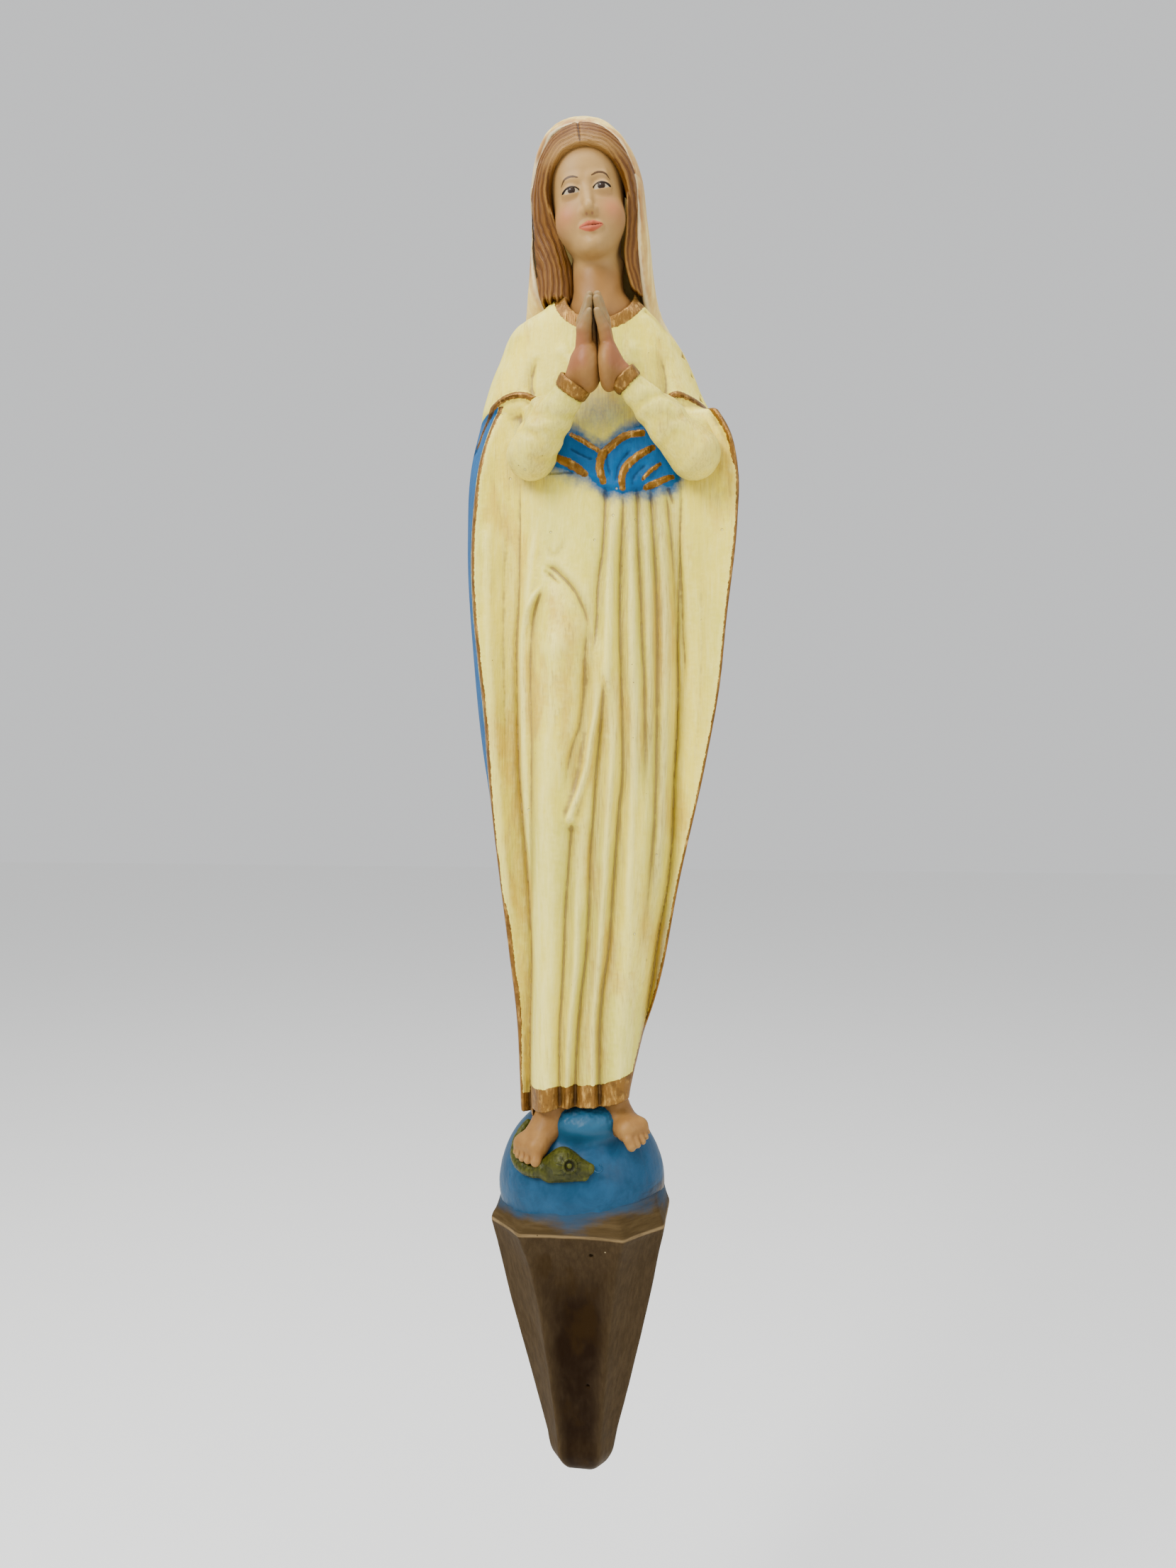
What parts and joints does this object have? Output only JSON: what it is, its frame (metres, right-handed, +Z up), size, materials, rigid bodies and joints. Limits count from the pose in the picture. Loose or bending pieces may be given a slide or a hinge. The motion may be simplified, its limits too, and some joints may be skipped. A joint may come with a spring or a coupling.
{
  "type": "wall-hung madonna statue",
  "caption": "Slender painted plaster madonna with praying hands, standing on a half globe with a serpent, on a faceted wall console.",
  "frame": {"origin": "on the wall plane, on the console's centre line, at the height of the console's rim", "axes": "+X to the viewer's right, +Y into the wall, +Z up; the figure faces -Y"},
  "size_m": [0.1229, 0.0737, 0.599],
  "materials": {
    "console_paint": "plaster painted dark bronze, low sheen",
    "globe_paint": "plaster airbrushed blue fading to bronze, low sheen",
    "serpent_paint": "plaster painted olive green with bronze edges",
    "flesh_paint": "plaster painted in flesh tones with rosy blush, satin",
    "gown_paint": "plaster painted cream with tan shading in the folds, satin",
    "sash_paint": "plaster painted blue with bronze-gold trim",
    "mantle_paint": "plaster painted blue outside and cream on the lining, bronze edges",
    "bare_plaster": "bare cast plaster, matt",
    "hair_paint": "plaster painted brown with gold strokes",
    "iron": "plain mild steel rod, lightly rusted"
  },
  "bodies": {
    "root": {"console": "console_paint", "globe": "globe_paint", "serpent": "serpent_paint", "foot_right": "flesh_paint", "foot_left": "flesh_paint", "gown_skirt": "gown_paint", "sash": "sash_paint", "gown_bodice": "gown_paint", "mantle_right": "mantle_paint", "mantle_left": "mantle_paint", "back_fill": "bare_plaster", "sleeve_right": "gown_paint", "sleeve_left": "gown_paint", "hand_right": "flesh_paint", "hand_left": "flesh_paint", "head": "flesh_paint", "hair": "hair_paint", "veil": "gown_paint", "armature_rod": "iron", "neck_dowel": "iron", "wrist_pin_right": "iron", "wrist_pin_left": "iron", "hanging_bar": "iron"}
  },
  "joints": []
}
